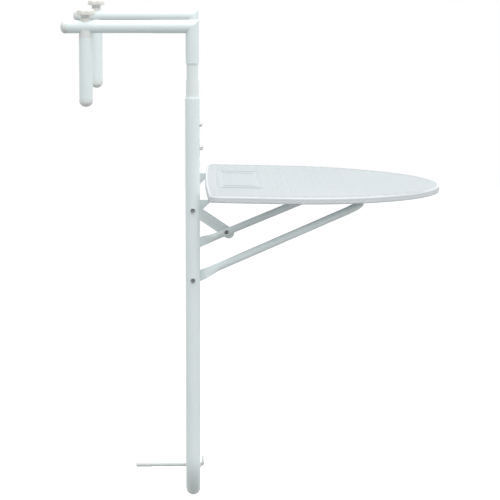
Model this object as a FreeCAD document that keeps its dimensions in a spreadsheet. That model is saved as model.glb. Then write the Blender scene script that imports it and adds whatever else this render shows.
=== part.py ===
import FreeCAD, Part
import math
import os
import re
import Sketcher

# Balcony railing bar table: a bent steel frame that hangs from a railing by two hook arms, with a
# moulded D-shaped top that folds down over a folding U-shaped brace.
# X runs along the railing, +Y points to the railing, -Y to the user, +Z is up. The origin is on the
# plane of the poles, midway between them, level with the underside of the hook arms.

doc = FreeCAD.newDocument("balcony_railing_table")
sheet = doc.addObject("Spreadsheet::Sheet", "Dimensions")

sizes = {
    # main tubes
    "tube_diameter": 22,
    "tube_wall": 1.4,
    "pole_diameter": 24,
    "slip_gap": 0.1,
    "pole_half_gap": 259,
    "pole_top_drop": 106.2,
    "frame_drop": 764.5,
    "frame_bend": 60,
    # hook arms and the inner tubes that telescope in the poles
    "arm_reach": 205,
    "sleeve_drop": 49,
    "inner_wall": 1.2,
    "inner_top_drop": 8,
    "inner_bottom_drop": 225,
    "cap_length": 10.3,
    "cap_rim": 3,
    "cap_plug": 12,
    "cap_dome_steps": 5,
    "plug_gap": 0.1,
    # height lock
    "snap_drop": 187.5,
    "snap_pitch": 18,
    "snap_holes": 7,
    "snap_diameter": 8,
    "snap_gap": 0.3,
    "snap_reach": 17.3,
    "snap_flange_face": 6.5,
    "snap_flange_thickness": 1.5,
    "snap_flange_radius": 4.8,
    "spring_width": 7,
    "spring_leaf": 0.8,
    "spring_length": 34,
    # railing clamps
    "clamp_set": 174,
    "slot_start": 68,
    "slot_end": 187,
    "slot_width": 7,
    "drop_tube_top": 6.8,
    "drop_tube_bottom": 107.5,
    "saddle_peak": 5,
    "saddle_plug": 26,
    "drop_cap_length": 12.5,
    "seat_clearance": 0.3,
    "stud_diameter": 6,
    "thread_clearance": 0.05,
    "clamp_nut_diameter": 12,
    "clamp_nut_height": 8,
    "pad_diameter": 17,
    "pad_top": 24.6,
    "knob_bottom": 29.4,
    "knob_height": 10.9,
    "knob_diameter": 30,
    "knob_hub_diameter": 16,
    "knob_scallop": 5,
    "knob_scallop_ring": 17.2,
    "knob_lobes": 6,
    # bolts of the hinges
    "hinge_drop": 289.8,
    "brace_drop": 116,
    "stud_drop": 49.2,
    "bolt_diameter": 6,
    "bolt_clearance": 0.1,
    "bolt_head_diameter": 9,
    "bolt_head_height": 3.2,
    "bolt_crown_share": 0.6,
    "nut_width": 10,
    "nut_height": 4.5,
    "washer_thickness": 1,
    "washer_diameter": 14,
    "face_gap": 0.1,
    # tabletop
    "board_width": 600,
    "board_depth": 400,
    "board_rise": 27.8,
    "board_thickness": 12,
    "board_setback": 26,
    "board_lean": 1.12,
    "flank_share": 0.325,
    "shoulder_share": 0.7667,
    "back_bulge": 4.4,
    "board_corner": 16,
    "board_skin": 3.5,
    "board_wall": 3.5,
    "base_sheet": 2,
    "base_recess": 2.5,
    "base_gap": 0.2,
    "rib_thickness": 2.5,
    "rib_row_half": 215,
    "rib_row_first": 85,
    "rib_row_step": 65,
    "rib_rows": 5,
    "top_round": 4.5,
    "bottom_round": 1.2,
    "boss_diameter": 12,
    # brackets under the top
    "bracket_thickness": 3,
    "bracket_lug": 12,
    "bracket_flange": 28,
    "bracket_length": 90,
    "screw_first": 36,
    "screw_spacing": 22,
    "screw_diameter": 4,
    "screw_head_diameter": 8,
    "screw_head_height": 2.4,
    "screw_length": 8.5,
    # folding brace
    "brace_diameter": 13,
    "brace_wall": 1.2,
    "brace_end_height": 17,
    "brace_end_thickness": 5,
    "brace_jog_start": 22,
    "brace_jog_end": 44,
    "leg_inset": 18,
    "leg_taper": 22,
    "brace_bend": 30,
    "leg_slack": 0.5,
    "cradle_reach": 280,
    "cradle_nest": -1.4,
    "cradle_below": 7.2,
    "cradle_width": 26,
    "cradle_length": 34,
    "cradle_slant": 24.8,
    "cradle_inner": 60,
    "cradle_outer": 160,
    # locking stay
    "stay_pivot": 66,
    "stay_width": 20,
    "stay_thickness": 3,
    "stay_washer": 2,
    "stay_nose": 5,
    "stay_tail": 2,
    "hook_width": 7,
    "hook_slant": 17.7,
    # spacer rod
    "rod_diameter": 6,
    "rod_length": 94,
    "rod_front": 16.6,
    "rod_handle": 15.5,
    "rod_bend": 3.6,
    "tip_start": 74,
    "tip_length": 26,
    "tip_diameter": 7.2,
    "bush_diameter": 10,
    "bush_flange": 13,
    "bush_flange_thickness": 0.8,
    "bush_depth": 2.6,
}
for row, (name, size) in enumerate(sizes.items(), start=1):
    sheet.set(f"A{row}", name)
    sheet.set(f"B{row}", str(size))
    sheet.setAlias(f"B{row}", name)
doc.recompute()

# Lengths that follow from the sizes above, as expressions.
tube_radius = "(tube_diameter / 2)"
pole_radius = "(pole_diameter / 2)"
bore_radius = "(tube_diameter / 2 - tube_wall)"
inner_radius = "(tube_diameter / 2 - tube_wall - slip_gap)"
pole_inner_face = "(pole_half_gap - pole_diameter / 2)"
bolt_radius = "(bolt_diameter / 2)"
bolt_hole_radius = "(bolt_diameter / 2 + bolt_clearance)"
board_bottom = "(board_rise - board_thickness)"
board_flank = "(board_depth * flank_share)"
shoulder_radius = "(board_width / 2 * shoulder_share)"
base_top = f"({board_bottom} + base_recess + base_sheet)"
bracket_outer_face = f"({pole_inner_face} - washer_thickness - face_gap)"
bracket_middle = f"({bracket_outer_face} - bracket_flange / 2)"
lean_cos = "cos(board_lean * 1deg)"
lean_sin = "sin(board_lean * 1deg)"
bar_level = f"({board_bottom} + cradle_nest - brace_diameter / 2)"
brace_run = f"(cradle_reach * {lean_cos} + {bar_level} * {lean_sin})"
brace_climb = f"(brace_drop - cradle_reach * {lean_sin} + {bar_level} * {lean_cos})"
brace_length = f"sqrt({brace_run}^2 + {brace_climb}^2)"
brace_angle = f"atan2({brace_climb}; {brace_run})"
leg_half = f"({pole_inner_face} - leg_inset)"
nose_half = f"({leg_half} - leg_taper)"
brace_end_middle = f"({pole_inner_face} - washer_thickness - face_gap - brace_end_thickness / 2)"
leg_at_pivot = (
    f"({leg_half} - (stay_pivot - brace_jog_end) * leg_taper / ({brace_length} - brace_jog_end))"
)
pivot_run = f"(stay_pivot * {brace_run} / {brace_length})"
pivot_climb = f"(stay_pivot * {brace_climb} / {brace_length})"
stay_climb = f"(brace_drop - stud_drop - {pivot_climb})"
stay_length = f"sqrt({pivot_run}^2 + {stay_climb}^2)"
stay_angle = f"atan2({stay_climb}; {pivot_run})"
stay_inner_face = f"({leg_at_pivot} + brace_diameter / 2 + leg_slack + stay_washer + face_gap)"
stay_outer_face = f"({stay_inner_face} + stay_thickness)"
front_depth = f"(board_depth - {board_flank})"
nose_radius = (
    f"(((board_width / 2 - {shoulder_radius})^2 + {front_depth}^2 - {shoulder_radius}^2)"
    f" / (2 * ({front_depth} - {shoulder_radius})))"
)


def ref(text):
    """The expression with every size's name pointing to its cell."""
    return re.sub(r"[a-z]+(?:_[a-z]+)+", lambda word: "Dimensions." + word.group(), str(text))


def number(text):
    """What an expression comes to now."""
    result = sheet.evalExpression(ref(text).replace("Dimensions.", ""))
    return float(getattr(result, "Value", result))


def seat(piece, x="0", y="0", z="0", turn=None, angle=None):
    """Places a piece by expressions, turned about X, Y or Z."""
    if turn:
        piece.Placement = FreeCAD.Placement(FreeCAD.Vector(), FreeCAD.Rotation(turn, number(angle)))
        piece.setExpression("Placement.Rotation.Angle", ref(angle))
    for letter, text in zip("xyz", (x, y, z)):
        piece.setExpression(f"Placement.Base.{letter}", ref(text))
    return piece


ABOUT_X = FreeCAD.Vector(1, 0, 0)
ABOUT_Y = FreeCAD.Vector(0, 1, 0)
HALF_TURN = FreeCAD.Rotation(FreeCAD.Vector(0, 0, 1), 180)


def new_body(name):
    body = doc.addObject("PartDesign::Body", name)
    body.Label = name
    return body


def plane_of(body, role):
    return next(one for one in body.Origin.OriginFeatures if one.Role == role)


def new_sketch(body, plane, name, offset=None):
    """A sketch on one of the body's own origin planes, moved along the plane's normal."""
    sketch = body.newObject("Sketcher::SketchObject", name)
    sketch.AttachmentSupport = [(plane_of(body, plane), "")]
    sketch.MapMode = "FlatFace"
    if offset is not None:
        sketch.setExpression("AttachmentOffset.Base.z", ref(offset))
    return sketch


def hold(sketch, kind, place, text):
    """A dimension of the sketch, tied to an expression."""
    index = sketch.addConstraint(Sketcher.Constraint(kind, *place, number(text)))
    sketch.setExpression(f"Constraints[{index}]", ref(text))


def hold_point(sketch, item, end, x, y):
    hold(sketch, "DistanceX", (-1, 1, item, end), x)
    hold(sketch, "DistanceY", (-1, 1, item, end), y)


def vector(x, y):
    return FreeCAD.Vector(number(x), number(y), 0)


def circle(sketch, x, y, radius):
    item = sketch.addGeometry(Part.Circle(vector(x, y), FreeCAD.Vector(0, 0, 1), number(radius)))
    hold_point(sketch, item, 3, x, y)
    hold(sketch, "Radius", (item,), radius)


def corners_of(x, half_wide, half_tall):
    """The corners of a rectangle about (x, 0), turning left from the top left."""
    left, right = f"{x} - {half_wide}", f"{x} + {half_wide}"
    low = f"-{half_tall}"
    return [(left, half_tall), (left, low), (right, low), (right, half_tall)]


def outline(sketch, corners, arcs=None):
    """A closed outline through the corners. arcs gives, for the side that starts at a corner, the
    arc's centre, whether it turns left, and which coordinate of the centre is held."""
    arcs = arcs or {}
    first = None
    items = []
    for index, (x, y) in enumerate(corners):
        start = vector(x, y)
        end = vector(*corners[(index + 1) % len(corners)])
        if index in arcs:
            centre_x, centre_y, left, held = arcs[index]
            centre = vector(centre_x, centre_y)
            radius = (start - centre).Length
            angles = [math.atan2(p.y - centre.y, p.x - centre.x) for p in (start, end)]
            if not left:
                angles.reverse()
            ring = Part.Circle(centre, FreeCAD.Vector(0, 0, 1), radius)
            item = sketch.addGeometry(Part.ArcOfCircle(ring, *angles))
            items.append((item, 1 if left else 2, 2 if left else 1))
            if held == "x":
                hold(sketch, "DistanceX", (-1, 1, item, 3), centre_x)
            else:
                hold(sketch, "DistanceY", (-1, 1, item, 3), centre_y)
        else:
            item = sketch.addGeometry(Part.LineSegment(start, end))
            items.append((item, 1, 2))
    for index, (item, start, _) in enumerate(items):
        before, _, end = items[index - 1]
        sketch.addConstraint(Sketcher.Constraint("Coincident", before, end, item, start))
        hold_point(sketch, item, start, *corners[index])


def path(sketch, points, radius):
    """An open path of straight runs joined by arcs of one radius."""
    ends = [vector(*point) for point in points]
    bend = number(radius)
    starts, stops, centres = [ends[0]], [], []
    for before, corner, after in zip(ends, ends[1:], ends[2:]):
        back = (before - corner).normalize()
        on = (after - corner).normalize()
        half = back.getAngle(on) / 2
        reach = bend / math.tan(half)
        stops.append(corner + back * reach)
        starts.append(corner + on * reach)
        centres.append(corner + (back + on).normalize() * (bend / math.sin(half)))
    stops.append(ends[-1])
    lines = [sketch.addGeometry(Part.LineSegment(a, b)) for a, b in zip(starts, stops)]
    hold_point(sketch, lines[0], 1, *points[0])
    hold_point(sketch, lines[-1], 2, *points[-1])
    for index, centre in enumerate(centres):
        start, end = stops[index] - centre, starts[index + 1] - centre
        left = start.cross(end).z > 0
        angles = [math.atan2(arm.y, arm.x) for arm in (start, end)]
        if not left:
            angles.reverse()
        ring = Part.Circle(centre, FreeCAD.Vector(0, 0, 1), bend)
        arc = sketch.addGeometry(Part.ArcOfCircle(ring, *angles))
        entry, leave = (1, 2) if left else (2, 1)
        sketch.addConstraint(Sketcher.Constraint("Tangent", lines[index], 2, arc, entry))
        sketch.addConstraint(Sketcher.Constraint("Tangent", arc, leave, lines[index + 1], 1))
        hold(sketch, "Radius", (arc,), radius)
        corner = sketch.addGeometry(Part.Point(vector(*points[index + 1])), True)
        hold_point(sketch, corner, 1, *points[index + 1])
        sketch.addConstraint(Sketcher.Constraint("PointOnObject", corner, 1, lines[index]))
        sketch.addConstraint(Sketcher.Constraint("PointOnObject", corner, 1, lines[index + 1]))


def finish_rim(body, name, level, size, kind="Fillet"):
    """Rounds or bevels the edges of the body's last feature that lie at one height."""
    doc.recompute()
    base = body.Tip
    height = number(level)
    rims = [
        f"Edge{index}"
        for index, edge in enumerate(base.Shape.Edges, start=1)
        if all(math.isclose(end, height, abs_tol=1e-4) for end in (edge.BoundBox.ZMin, edge.BoundBox.ZMax))
    ]
    made = body.newObject("PartDesign::" + kind, name)
    made.Base = (base, rims)
    made.setExpression("Radius" if kind == "Fillet" else "Size", ref(size))
    body.Tip = made


def feature(body, kind, name, sketch, length=None, middle=False):
    """A pad or pocket of a sketch."""
    made = body.newObject("PartDesign::" + kind, name)
    made.Profile = sketch
    if length is not None:
        made.setExpression("Length", ref(length))
    if middle:
        made.Midplane = True
    body.Tip = made
    return made


def sweep(body, name, section, spine, corner="Transformed"):
    made = body.newObject("PartDesign::AdditivePipe", name)
    made.Profile = section
    made.Spine = (spine, [])
    made.Transition = corner
    body.Tip = made
    return made


def turned(name, axis, profile, arcs=None):
    """A turned piece: profile gives (along the axis, radius) round the outline."""
    body = new_body(name)
    if axis == "Z":
        sketch = new_sketch(body, "XZ_Plane", name + "_profile")
        corners = [(radius, along) for along, radius in profile]
        arcs = {key: (r, a, left, held) for key, (a, r, left, held) in (arcs or {}).items()}
        line = "V_Axis"
    else:
        sketch = new_sketch(body, "YZ_Plane" if axis == "Y" else "XZ_Plane", name + "_profile")
        corners = profile
        line = "H_Axis"
    outline(sketch, corners, arcs)
    made = body.newObject("PartDesign::Revolution", name + "_turning")
    made.Profile = sketch
    made.ReferenceAxis = (sketch, [line])
    made.Angle = 360
    body.Tip = made
    return body


def cylinder(name, radius, height, axis="Z"):
    made = doc.addObject("Part::Cylinder", name)
    made.setExpression("Radius", ref(radius))
    made.setExpression("Height", ref(height))
    turns = {"X": (ABOUT_Y, "90"), "Y": (ABOUT_X, "-90")}
    if axis in turns:
        turn, angle = turns[axis]
        made.Placement = FreeCAD.Placement(FreeCAD.Vector(), FreeCAD.Rotation(turn, float(angle)))
    return made


def box(name, long, wide, tall):
    made = doc.addObject("Part::Box", name)
    for side, text in (("Length", long), ("Width", wide), ("Height", tall)):
        made.setExpression(side, ref(text))
    return made


def cut(name, base, tool):
    made = doc.addObject("Part::Cut", name)
    made.Base = base
    made.Tool = tool
    made.Label = name
    return made


def fuse(name, pieces):
    made = doc.addObject("Part::MultiFuse", name)
    made.Shapes = pieces
    made.Label = name
    return made


def group(name, pieces):
    """Identical fasteners kept together as separate solids."""
    made = doc.addObject("Part::Compound", name)
    made.Links = pieces
    made.Label = name
    return made


parts = []
SIDES = (("left", "-1"), ("right", "1"))


def u_frame():
    """The bent tube: two poles joined by the crossbar at the bottom, drilled for the bolts, the
    height holes and the spacer rod."""
    body = new_body("u_frame")
    spine = new_sketch(body, "XZ_Plane", "frame_line")
    top, low = "-pole_top_drop", "-frame_drop"
    path(
        spine,
        [("-pole_half_gap", top), ("-pole_half_gap", low), ("pole_half_gap", low), ("pole_half_gap", top)],
        "frame_bend",
    )
    section = new_sketch(body, "XY_Plane", "frame_section", top)
    circle(section, "-pole_half_gap", "0", pole_radius)
    circle(section, "-pole_half_gap", "0", bore_radius)
    sweep(body, "frame_tube", section, spine)
    across = new_sketch(body, "YZ_Plane", "hinge_holes", f"pole_half_gap + {pole_radius} + 1")
    for drop in ("hinge_drop", "(hinge_drop + brace_drop)"):
        circle(across, "0", f"-{drop}", bolt_hole_radius)
    feature(body, "Pocket", "hinge_drilling", across, f"2 * (pole_half_gap + {pole_radius} + 1)")
    stay = new_sketch(body, "YZ_Plane", "stay_hole", f"pole_half_gap + {pole_radius} + 1")
    circle(stay, "0", "-(hinge_drop + stud_drop)", bolt_hole_radius)
    feature(body, "Pocket", "stay_drilling", stay, "pole_diameter + 2")
    front = new_sketch(body, "XZ_Plane", "front_holes", f"{pole_radius} + 1")
    for _, side in SIDES:
        for step in range(int(number("snap_holes"))):
            level = f"-snap_drop + ({step} - (snap_holes - 1) / 2) * snap_pitch"
            circle(front, f"{side} * pole_half_gap", level, "snap_diameter / 2 + snap_gap")
    feature(body, "Pocket", "height_drilling", front, f"{pole_radius} + 1")
    rod = new_sketch(body, "XZ_Plane", "rod_hole", f"{pole_radius} + 1")
    circle(rod, "0", low, "bush_diameter / 2")
    feature(body, "Pocket", "rod_drilling", rod, "pole_diameter + 2")
    parts.append(body)


def hook_arm(side, sign):
    """A mitred hook of the same tube: the arm over the railing, slotted for the clamp screw, and the
    short sleeve that holds the inner tube."""
    body = new_body(f"hook_arm_{side}")
    axis = tube_radius
    spine = new_sketch(body, "YZ_Plane", f"arm_line_{side}")
    points = [("0", "-sleeve_drop"), ("0", axis), ("arm_reach", axis)]
    items = []
    for start, end in zip(points, points[1:]):
        items.append(spine.addGeometry(Part.LineSegment(vector(*start), vector(*end))))
    spine.addConstraint(Sketcher.Constraint("Coincident", items[0], 2, items[1], 1))
    hold_point(spine, items[0], 1, *points[0])
    hold_point(spine, items[0], 2, *points[1])
    hold_point(spine, items[1], 2, *points[2])
    section = new_sketch(body, "XY_Plane", f"arm_section_{side}", "-sleeve_drop")
    circle(section, "0", "0", tube_radius)
    circle(section, "0", "0", bore_radius)
    sweep(body, f"arm_tube_{side}", section, spine, "Right corner")
    slot = new_sketch(body, "XY_Plane", f"arm_slot_{side}", "tube_diameter + 1")
    half = "slot_width / 2"
    outline(
        slot,
        [(f"-{half}", "slot_start"), (half, "slot_start"), (half, "slot_end"), (f"-{half}", "slot_end")],
        {0: ("0", "slot_start", True, "y"), 2: ("0", "slot_end", True, "y")},
    )
    feature(body, "Pocket", f"arm_slotting_{side}", slot, "tube_diameter + 2")
    parts.append(seat(body, x=f"{sign} * pole_half_gap"))


def inner_tube(side, sign):
    """The thinner tube pressed into the sleeve, which slides in the pole. Its front wall has the
    snap button's hole."""
    name = f"inner_tube_{side}"
    length = "inner_bottom_drop - inner_top_drop"
    hole = cylinder(name + "_hole", "snap_diameter / 2 + snap_gap", tube_radius, "Y")
    seat_at = {"x": f"{sign} * pole_half_gap"}
    outer = seat(cylinder(name + "_outside", inner_radius, length), z="-inner_bottom_drop", **seat_at)
    bore = seat(
        cylinder(name + "_bore", f"{inner_radius} - inner_wall", length), z="-inner_bottom_drop", **seat_at
    )
    seat(hole, y=f"-{tube_radius}", z="-snap_drop", **seat_at)
    parts.append(cut(name, outer, fuse(name + "_openings", [bore, hole])))


def end_cap(name, length):
    """A pushed-in plastic cap: a plug, a short rim and a dome of short cones, made along +Y."""
    plug = f"({bore_radius} - plug_gap)"
    steps = int(number("cap_dome_steps"))
    profile = [("-cap_plug", "0"), (length, "0")]
    for step in reversed(range(steps)):
        turn = f"({step} * 90deg / cap_dome_steps)"
        along = f"cap_rim + ({length} - cap_rim) * sin({turn})"
        profile.append((length if step == steps - 1 else along, f"{tube_radius} * cos({turn})"))
    profile += [("0", tube_radius), ("0", plug), ("-cap_plug", plug)]
    return turned(name, "Y", profile)


def arm_cap(side, sign):
    cap = end_cap(f"arm_cap_{side}", "cap_length")
    parts.append(seat(cap, x=f"{sign} * pole_half_gap", y="arm_reach", z=tube_radius))


def snap_button(side, sign):
    """The sprung nub that locks the height, with the flange that keeps it inside the inner tube."""
    nub = "(snap_diameter / 2)"
    bevel = "(snap_diameter / 4)"
    inner_end = "(snap_flange_face - snap_flange_thickness)"
    profile = [
        (f"-{inner_end}", "0"),
        (f"-{inner_end}", "snap_flange_radius"),
        ("-snap_flange_face", "snap_flange_radius"),
        ("-snap_flange_face", nub),
        (f"-(snap_reach - {bevel})", nub),
        ("-snap_reach", bevel),
        ("-snap_reach", "0"),
    ]
    button = turned(f"snap_button_{side}", "Y", profile)
    parts.append(seat(button, x=f"{sign} * pole_half_gap", z="-snap_drop"))


def snap_spring(side, sign):
    """The bent leaf behind the button: its front leg bears on the flange, its back leg on the tube."""
    body = new_body(f"snap_spring_{side}")
    sketch = new_sketch(body, "YZ_Plane", f"spring_profile_{side}")
    front = "(-snap_flange_face + snap_flange_thickness + face_gap)"
    back = f"({inner_radius} - inner_wall - 1)"
    rise = "snap_diameter"
    foot = "-spring_length"
    outline(
        sketch,
        [
            (front, rise),
            (f"{front} / 3", foot),
            (f"{back} / 3", foot),
            (back, rise),
            (f"{back} - spring_leaf", rise),
            (f"{back} / 3 - spring_leaf", f"{foot} + spring_leaf"),
            (f"{front} / 3 + spring_leaf", f"{foot} + spring_leaf"),
            (f"{front} + spring_leaf", rise),
        ],
    )
    feature(body, "Pad", f"spring_strip_{side}", sketch, "spring_width", middle=True)
    parts.append(seat(body, x=f"{sign} * pole_half_gap", z="-snap_drop"))


def drop_tube(side, sign):
    """The short tube that hangs from the arm on the far side of the railing."""
    name = f"drop_tube_{side}"
    length = "drop_tube_bottom - drop_tube_top"
    where = {"x": f"{sign} * pole_half_gap", "y": "clamp_set", "z": "-drop_tube_bottom"}
    outer = seat(cylinder(name + "_outside", tube_radius, length), **where)
    bore = seat(cylinder(name + "_bore", bore_radius, length), **where)
    parts.append(cut(name, outer, bore))


def drop_cap(side, sign):
    cap = end_cap(f"drop_cap_{side}", "drop_cap_length")
    seat(
        cap, f"{sign} * pole_half_gap", "clamp_set", "-drop_tube_bottom", turn=ABOUT_X, angle="-90"
    )
    parts.append(cap)


def saddle(side, sign):
    """The plastic cap on top of the drop tube, hollowed to the arm and bored for the screw and nut."""
    name = f"saddle_{side}"
    where = {"x": f"{sign} * pole_half_gap", "y": "clamp_set"}
    head = seat(
        cylinder(name + "_head", tube_radius, "drop_tube_top + saddle_peak"), z="-drop_tube_top", **where
    )
    plug = seat(
        cylinder(name + "_plug", f"{bore_radius} - plug_gap", "saddle_plug"),
        z="-drop_tube_top - saddle_plug",
        **where,
    )
    arm = seat(
        cylinder(name + "_arm_space", f"{tube_radius} + seat_clearance", "2 * tube_diameter", "Y"),
        x=f"{sign} * pole_half_gap",
        y="clamp_set - tube_diameter",
        z=tube_radius,
    )
    screw = seat(
        cylinder(name + "_screw_way", "stud_diameter / 2 + seat_clearance", "saddle_plug + tube_diameter"),
        z="-drop_tube_top - saddle_plug",
        **where,
    )
    pocket = seat(
        cylinder(name + "_nut_pocket", "clamp_nut_diameter / 2", "clamp_nut_height"),
        z="-drop_tube_top - saddle_plug",
        **where,
    )
    parts.append(cut(name, fuse(name + "_solid", [head, plug]), fuse(name + "_cuts", [arm, screw, pocket])))


def clamp_nut(side, sign):
    """The brass insert in the foot of the saddle that the clamp screw pulls on."""
    name = f"clamp_nut_{side}"
    where = {"x": f"{sign} * pole_half_gap", "y": "clamp_set", "z": "-drop_tube_top - saddle_plug"}
    outer = seat(cylinder(name + "_outside", "clamp_nut_diameter / 2", "clamp_nut_height"), **where)
    bore = seat(
        cylinder(name + "_bore", "stud_diameter / 2 + thread_clearance", "clamp_nut_height"), **where
    )
    parts.append(cut(name, outer, bore))


def pressure_pad(side, sign):
    """The pad between the knob and the arm, hollowed underneath to the arm's round."""
    name = f"pressure_pad_{side}"
    where = {"x": f"{sign} * pole_half_gap", "y": "clamp_set"}
    disc = cylinder(name + "_outside", "pad_diameter / 2", f"pad_top - {tube_radius}")
    outer = seat(disc, z=tube_radius, **where)
    arm = seat(
        cylinder(name + "_arm_space", f"{tube_radius} + seat_clearance", "2 * tube_diameter", "Y"),
        x=f"{sign} * pole_half_gap",
        y="clamp_set - tube_diameter",
        z=tube_radius,
    )
    bore = seat(cylinder(name + "_bore", "stud_diameter / 2 + seat_clearance", "pad_top"), z="0", **where)
    parts.append(cut(name, outer, fuse(name + "_cuts", [arm, bore])))


def knob(side, sign):
    """The star knob: a hub that bears on the pad and a lobed head with a bevelled top."""
    name = f"knob_{side}"
    body = new_body(name)
    hub_bottom = "(pad_top + face_gap - knob_bottom)"
    hub = new_sketch(body, "XY_Plane", name + "_hub_outline", hub_bottom)
    circle(hub, "0", "0", "knob_hub_diameter / 2")
    feature(body, "Pad", name + "_hub", hub, "knob_bottom - pad_top - face_gap")
    head = new_sketch(body, "XY_Plane", name + "_head_outline")
    circle(head, "0", "0", "knob_diameter / 2")
    feature(body, "Pad", name + "_head", head, "knob_height")
    finish_rim(body, name + "_crown", "knob_height", "knob_height / 4", "Chamfer")
    bite = new_sketch(body, "XY_Plane", name + "_bite_outline", "knob_height + 1")
    circle(bite, "knob_scallop_ring", "0", "knob_scallop")
    biting = feature(body, "Pocket", name + "_bite", bite, "knob_height + 1")
    pattern = body.newObject("PartDesign::PolarPattern", name + "_bites")
    pattern.Originals = [biting]
    pattern.Axis = (bite, ["N_Axis"])
    pattern.Angle = 360
    pattern.setExpression("Occurrences", ref("knob_lobes"))
    body.Tip = pattern
    shank = new_sketch(body, "XY_Plane", name + "_bore_outline", "knob_height / 2")
    circle(shank, "0", "0", "stud_diameter / 2")
    feature(body, "Pocket", name + "_bore", shank, "knob_height / 2 + knob_bottom")
    parts.append(seat(body, f"{sign} * pole_half_gap", "clamp_set", "knob_bottom"))


def clamp_stud(side, sign):
    """The screw moulded into the knob, down through the arm and the saddle into the nut."""
    name = f"clamp_stud_{side}"
    low = "(drop_tube_top + saddle_plug + 4)"
    made = cylinder(name, "stud_diameter / 2", f"{low} + knob_bottom + knob_height / 2")
    made.Label = name
    parts.append(seat(made, f"{sign} * pole_half_gap", "clamp_set", f"-{low}"))


def board_outline(sketch, inset):
    """The D of the top: a slightly bowed back edge, two straight flanks, a shoulder arc on each side
    and the nose arc, all tangent in front, drawn inside the edge by the inset."""
    half = "(board_width / 2)"
    side = f"({half} - {inset})"
    back = f"(-board_setback - {inset})"
    corner_x = f"({half} - board_corner)"
    corner_y = "(-board_setback - board_corner)"
    flank = f"(-board_setback - {board_flank})"
    shoulder_x = f"({half} - {shoulder_radius})"
    nose_y = f"(-board_setback - board_depth + {nose_radius})"
    gap = f"({nose_radius} - {shoulder_radius})"
    reach = f"({shoulder_radius} - {inset})"
    meet_x = f"({shoulder_x} + {reach} * {shoulder_x} / {gap})"
    meet_y = f"({flank} + {reach} * ({flank} - {nose_y}) / {gap})"
    bow = f"(({corner_x}^2 + back_bulge^2) / (2 * back_bulge))"
    bow_y = f"(-board_setback + back_bulge - {bow})"
    outline(
        sketch,
        [
            (f"-{corner_x}", back),
            (f"-{side}", corner_y),
            (f"-{side}", flank),
            (f"-{meet_x}", meet_y),
            (meet_x, meet_y),
            (side, flank),
            (side, corner_y),
            (corner_x, back),
        ],
        {
            0: (f"-{corner_x}", corner_y, True, "x"),
            2: (f"-{shoulder_x}", flank, True, "y"),
            3: ("0", nose_y, True, "y"),
            4: (shoulder_x, flank, True, "y"),
            6: (corner_x, corner_y, True, "x"),
            7: ("0", bow_y, True, "y"),
        },
    )


def on_top(piece, x="0", y="0", z="0"):
    """Places a piece that is drawn in the top's own frame: origin on the hinge axis, leaning with it."""
    return seat(piece, x, y, z, turn=ABOUT_X, angle="board_lean")


def boss_places():
    """Where the bracket screws stand: a name and the place across and along the top."""
    places = []
    for side, sign in SIDES:
        for index in range(3):
            along = f"-(screw_first + {index} * screw_spacing)"
            places.append((f"{side}_{index}", f"{sign} * {bracket_middle}", along))
    return places


def cradle_blocks(name, low, tall, margin="0"):
    """Four blocks in a row over the brace's front bar."""
    blocks = []
    for index, x in enumerate(("-cradle_outer", "-cradle_inner", "cradle_inner", "cradle_outer")):
        block = box(f"{name}_{index}", f"cradle_width + 2 * {margin}", f"cradle_length + 2 * {margin}", tall)
        near = f"-cradle_reach - cradle_length / 2 - {margin}"
        blocks.append(seat(block, f"{x} - cradle_width / 2 - {margin}", near, low))
    return blocks


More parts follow.
